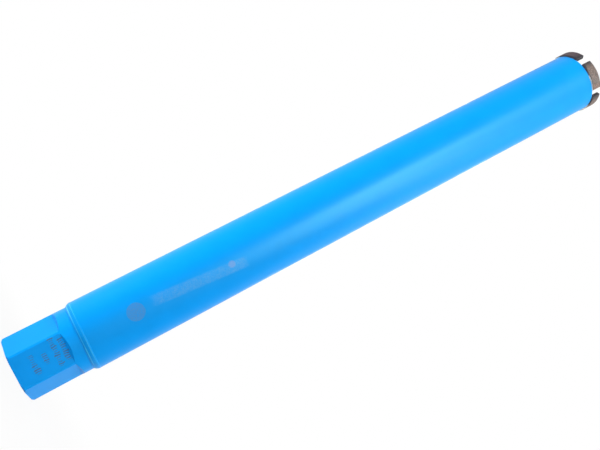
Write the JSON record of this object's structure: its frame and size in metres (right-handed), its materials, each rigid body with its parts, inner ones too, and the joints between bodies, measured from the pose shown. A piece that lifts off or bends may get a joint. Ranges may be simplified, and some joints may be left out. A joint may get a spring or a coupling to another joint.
{
  "type": "diamond core bit",
  "caption": "Wet diamond core bit: hexagonal threaded hub, long painted steel barrel and a crown of sintered diamond segments for drilling round holes in concrete.",
  "frame": {"origin": "centre of the hub's rear face, on the axis", "axes": "+Z runs along the axis from the hub to the crown; one wrench flat and segment_1 are centred on -Y"},
  "size_m": [0.052, 0.0517, 0.517],
  "materials": {
    "blue_paint": "semi-gloss sprayed enamel",
    "diamond_segment": "sintered metal matrix, ground",
    "bare_steel": "turned"
  },
  "bodies": {
    "root": {"hub": "blue_paint", "barrel_tube": "blue_paint", "weld_bead": "blue_paint", "segment_1": "diamond_segment", "segment_2": "diamond_segment", "segment_3": "diamond_segment", "segment_4": "diamond_segment", "segment_5": "diamond_segment"}
  },
  "joints": []
}
